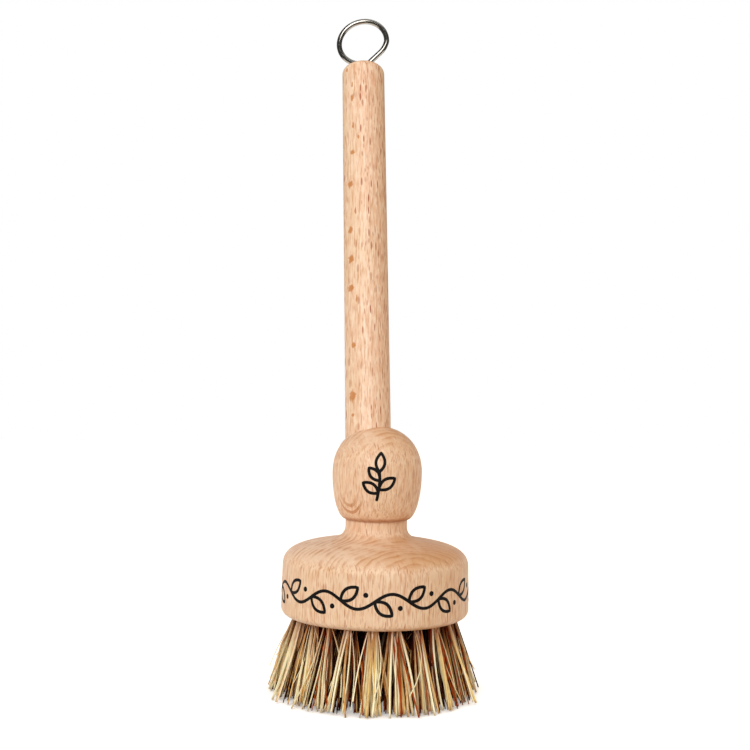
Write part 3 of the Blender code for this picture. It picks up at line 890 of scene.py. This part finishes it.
def makeTuft(name, radius, turn, sideRoom, chance):
    outward = Vector((math.cos(turn), math.sin(turn), 0))
    sideways = Vector((-math.sin(turn), math.cos(turn), 0))
    up = Vector((0, 0, 1))
    mouth = outward * radius + up * turnedBody["underside"]
    inHole = up - outward * radius * tufts["splay"] / tufts["length"]
    outer = name.startswith("tuft_outer")
    chances = outerClumps if outer else innerClumps
    clumps = frontClumps.get(name) or chance.choices(list(chances), list(chances.values()), k=5)
    inLean, sideLean = tufts["clumpLean"]
    leans = [(-abs(chance.gauss(0, inLean)) * mm, chance.gauss(0, sideLean) * mm) for _ in clumps]
    points, faces, kinds, tones = [], [], [], []
    strays = tufts["strays"] if outer else 0
    for index in range(tufts["strands"] + strays):
        stray = index >= tufts["strands"]
        angle = math.tau * chance.random()
        reach = math.sqrt(chance.random())
        a, b = reach * math.cos(angle), reach * math.sin(angle)
        square = reach / max(abs(a), abs(b), 1e-6)  # at the tips the round bundle has spread to fill its square
        clump = int(5 * angle / math.tau) % 5
        kind = 0 if stray else chance.choices(range(len(fibres)), mixes[clumps[clump]])[0]
        thick = chance.triangular(*tufts["thickness"]["pale" if kind < 2 else "dark"])
        if stray:
            thick = chance.uniform(*tufts["strayThickness"]) * mm
        bundle = tufts["bundleRadius"] - thick
        foldOut, foldSide = (bundle * share for share in tufts["foldSpread"])
        root = mouth + outward * a * bundle + sideways * b * bundle
        fold = mouth + inHole * tufts["foldDepth"] + outward * a * foldOut + sideways * b * foldSide
        play = tufts["strayPlay"] if stray else chance.choice(tufts["play"])
        tipOut = radius * (1 + tufts["splay"]) + a * square * tufts["tipRoomOut"] + leans[clump][0]
        tipOut += chance.gauss(0, play) * mm
        tipSide = b * square * sideRoom + leans[clump][1] + chance.gauss(0, 2 * play) * mm
        height = tufts["trim"] * chance.random() ** tufts["trimPower"]
        if stray:
            height += chance.uniform(*tufts["strayHeight"]) * mm
        tip = outward * tipOut + sideways * tipSide + up * height
        bend = tufts["strayBend"] if stray else chance.choice(tufts["bend"])
        bow = (outward * chance.gauss(0, bend) + sideways * chance.gauss(0, bend)) * mm
        path = [fold, root] + [root.lerp(tip, t) + bow * math.sin(math.pi * t) for t in steps(5)[1:]]
        taper = chance.uniform(*tufts["taper"])
        tube, skin = sweep(
            path, lambda step, _: thick * (1 - (1 - taper) * step / 6), tufts["sides"],
            flat=chance.uniform(*tufts["flatness"]), turn=chance.random() * math.pi,
        )
        faces += [tuple(i + len(points) for i in face) for face in skin]
        points += tube
        kinds += [kind] * len(skin)
        # strands inside the head take the darker tone, which paints their shade
        pale = outer and a > tufts["outerToneFrom"] and chance.random() < tufts["outerToneShare"]
        tones += [chance.uniform(*tufts["outerTone" if pale else "insideShadeTone"])] * len(tube)
    mesh = meshFrom(name, points, faces, 60)
    mesh.polygons.foreach_set("material_index", kinds)
    mesh.attributes.new("strandTone", "FLOAT", "POINT").data.foreach_set("value", tones)
    pieceName = name.replace("tuft_", "bristles_")
    return addPiece(pieceName, mesh, fibreMaterials, nodes=[name])


fibreMaterials = [fibreMaterial(name, look) for name, look in fibres.items()]
strandFaces = 0
for number, (name, radius, turn, sideRoom) in enumerate(tuftPlaces()):
    strandFaces += len(makeTuft(name, radius, turn, sideRoom, random.Random(100 + number)).data.polygons)
print("bristles made:", strandFaces, "faces")


# a plain printed ornament: a leaf garland round the wall and a sprig on the knob
ornament = {
    "line": 1.05 * mm,
    "thickness": 0.03 * mm,
    "sunk": 0.05 * mm,
    "repeats": 9,
    "stemSteps": 28,  # for each repeat
    "stemHeight": 9.9 * mm,  # above the underside
    "stemRise": 2.5 * mm,
    "leafLength": 7.2 * mm,
    "leafWidth": 3.7 * mm,
    "leafFullness": 0.85,  # smaller is blunter
    "leafTurn": math.radians(38),
    "berry": 1.7 * mm,
    "berryOff": 3.9 * mm,
    "berryAlong": 0.37,  # past the leaf, as a share of a repeat
    "berrySides": 18,
    "ink": "#0B0A0A",
    "inkThin": "#1D1917",
    "inkGrain": (0.4 * mm, 0.4 * mm, 4 * mm),
    "inkWear": (0.55, 0.85),
    "inkRoughness": (0.55, 0.72),
    "inkGloss": 0.15,
}


def inkMaterial():
    # screen-printed black ink on bare wood: matt, with the grain faintly through it
    made, tree, shader = newMaterial("screenPrintInk")
    place = addNode(tree, "TexCoord").outputs["Object"]
    grain = grainNoise(tree, place, ornament["inkGrain"])
    low, high = ornament["inkWear"]
    worn = addNode(tree, "MapRange", {"Value": grain, "From Min": low, "From Max": high})
    colour = addNode(tree, "Mix", {
        0: worn, 6: linear(ornament["ink"]), 7: linear(ornament["inkThin"])
    }, data_type="RGBA")
    colourAndRoughness(tree, shader, colour, grain, ornament["inkRoughness"])
    shader.inputs["Specular IOR Level"].default_value = ornament["inkGloss"]
    return made


outline = bodyProfile(turnedBody)


def onBody(angle, height):
    # the surface point at this height above the underside, and its outward direction
    z = height + turnedBody["underside"]
    for (r0, z0), (r1, z1) in zip(outline[1:], outline[2:]):
        if z0 <= z <= z1 and z1 > z0:
            radius = r0 + (r1 - r0) * (z - z0) / (z1 - z0)
            slope = (r1 - r0) / (z1 - z0)
            break
    direction = Vector((math.cos(angle), math.sin(angle), 0))
    return direction * radius + Vector((0, 0, z)), (direction - Vector((0, 0, slope))).normalized()


def addPatch(points, faces, border, middleAngle, middleRadius):
    # a filled flat shape, such as a dot or the round end of a line
    base, count = len(points), len(border)
    for level in (ornament["thickness"], -ornament["sunk"]):
        for place in border:
            surface, out = onBody(middleAngle + place.x / middleRadius, place.y)
            points.append(surface + out * level)
    faces.append(tuple(range(base, base + count)))
    faces.append(tuple(reversed(range(base + count, base + 2 * count))))
    faces += [
        (base + i, base + count + i, base + count + (i + 1) % count, base + (i + 1) % count) for i in range(count)
    ]


def stroke(points, faces, line, middleAngle, middleRadius, closed=False):
    # line is (across, height) points on the surface unrolled at middleRadius
    flat = [Vector(p) for p in line]
    count = len(flat)
    left, right = [], []
    for i, p in enumerate(flat):
        before, after = flat[i - 1 if closed or i else 0], flat[(i + 1) % count if closed else min(i + 1, count - 1)]
        ahead = (after - before).normalized()
        side = Vector((-ahead.y, ahead.x)) * ornament["line"] / 2
        left.append(p + side)
        right.append(p - side)
    if not closed:
        for end, ends, sign in ((flat[0], (left[0], right[0]), -1), (flat[-1], (left[-1], right[-1]), 1)):
            half = (ends[0] - ends[1]) / 2
            ahead = Vector((half.y, -half.x)) * sign
            cap = [end + half * math.cos(a) + ahead * math.sin(a) for a in (math.pi * t / 6 for t in range(7))]
            addPatch(points, faces, cap, middleAngle, middleRadius)
    base = len(points)
    for p, q in zip(left, right):
        for place in (p, q):
            surface, out = onBody(middleAngle + place.x / middleRadius, place.y)
            points += [surface + out * ornament["thickness"], surface - out * ornament["sunk"]]
    for i in range(count if closed else count - 1):
        a, b = base + 4 * i, base + 4 * ((i + 1) % count)
        faces += [
            (a, a + 2, b + 2, b), (a + 1, b + 1, b + 3, a + 3), (a, b, b + 1, a + 1), (a + 2, a + 3, b + 3, b + 2)
        ]
    if not closed:
        a, b = base, base + 4 * (count - 1)
        faces += [(a, a + 1, a + 3, a + 2), (b, b + 2, b + 3, b + 1)]


def leaf(foot, direction, length, width, count=22):
    # a pointed oval from its foot
    ahead = Vector((math.cos(direction), math.sin(direction)))
    side = Vector((-ahead.y, ahead.x)) * width / 2
    full = ornament["leafFullness"]
    there = [foot + ahead * length * t + side * math.sin(math.pi * t) ** full for t in steps(count)]
    back = [foot + ahead * length * t - side * math.sin(math.pi * t) ** full for t in reversed(steps(count)[1:-1])]
    return there + back


def makeGarland():
    radius = turnedBody["baseRadius"]
    points, faces = [], []
    wave = math.tau * radius / ornament["repeats"]
    turn = math.pi * 3 / 2 + camera["azimuth"]  # starts at the side that the photograph shows

    def stem(across):
        return Vector((across, ornament["stemHeight"] + ornament["stemRise"] * math.sin(math.tau * across / wave)))

    fine = ornament["stemSteps"] * ornament["repeats"]
    stroke(points, faces, [stem(math.tau * radius * t) for t in steps(fine)], turn, radius)
    for k in range(ornament["repeats"]):
        for half, sign in ((0.0, -1), (0.5, 1)):
            foot = stem(wave * (k + half))
            shape = leaf(foot, sign * ornament["leafTurn"], ornament["leafLength"], ornament["leafWidth"])
            stroke(points, faces, shape, turn, radius, True)
            beside = stem(wave * (k + half + ornament["berryAlong"]))
            berry = beside + Vector((0, sign * ornament["berryOff"]))
            addPatch(points, faces, [
                berry + Vector((math.cos(a), math.sin(a))) * ornament["berry"] / 2
                for a in (math.tau * i / ornament["berrySides"] for i in range(ornament["berrySides"]))
            ], turn, radius)
    return addPiece("wallGarland", meshFrom("wallGarland", points, faces), ink)


sprig = {
    "belowMiddle": 8 * mm,  # where the stem starts, under the middle of the knob
    "stemLength": 9.5 * mm,
    "sway": 0.9 * mm,
    "swayTurn": 2.2,
    "stemSteps": 16,
    "leafWidth": 0.5,  # as a share of its length
    "leaves": ((0.3, 148, 6.2), (0.42, 34, 6.6), (0.72, 132, 5.6), (1.0, 84, 6.2)),  # share of the stem, turn, mm
}


def makeSprig():
    radius = turnedBody["knobRadius"]
    points, faces = [], []
    turn = math.pi * 3 / 2 + camera["azimuth"]
    low = turnedBody["knobMiddle"] - sprig["belowMiddle"]
    stem = [
        Vector((sprig["sway"] * math.sin(sprig["swayTurn"] * t), low + sprig["stemLength"] * t))
        for t in steps(sprig["stemSteps"])
    ]
    stroke(points, faces, stem, turn, radius)
    for share, direction, length in sprig["leaves"]:
        foot = stem[int(share * sprig["stemSteps"])]
        shape = leaf(foot, math.radians(direction), length * mm, length * sprig["leafWidth"] * mm)
        stroke(points, faces, shape, turn, radius, True)
    return addPiece("knobSprig", meshFrom("knobSprig", points, faces), ink)


ink = inkMaterial()
makeGarland()
makeSprig()
print("ornament printed")
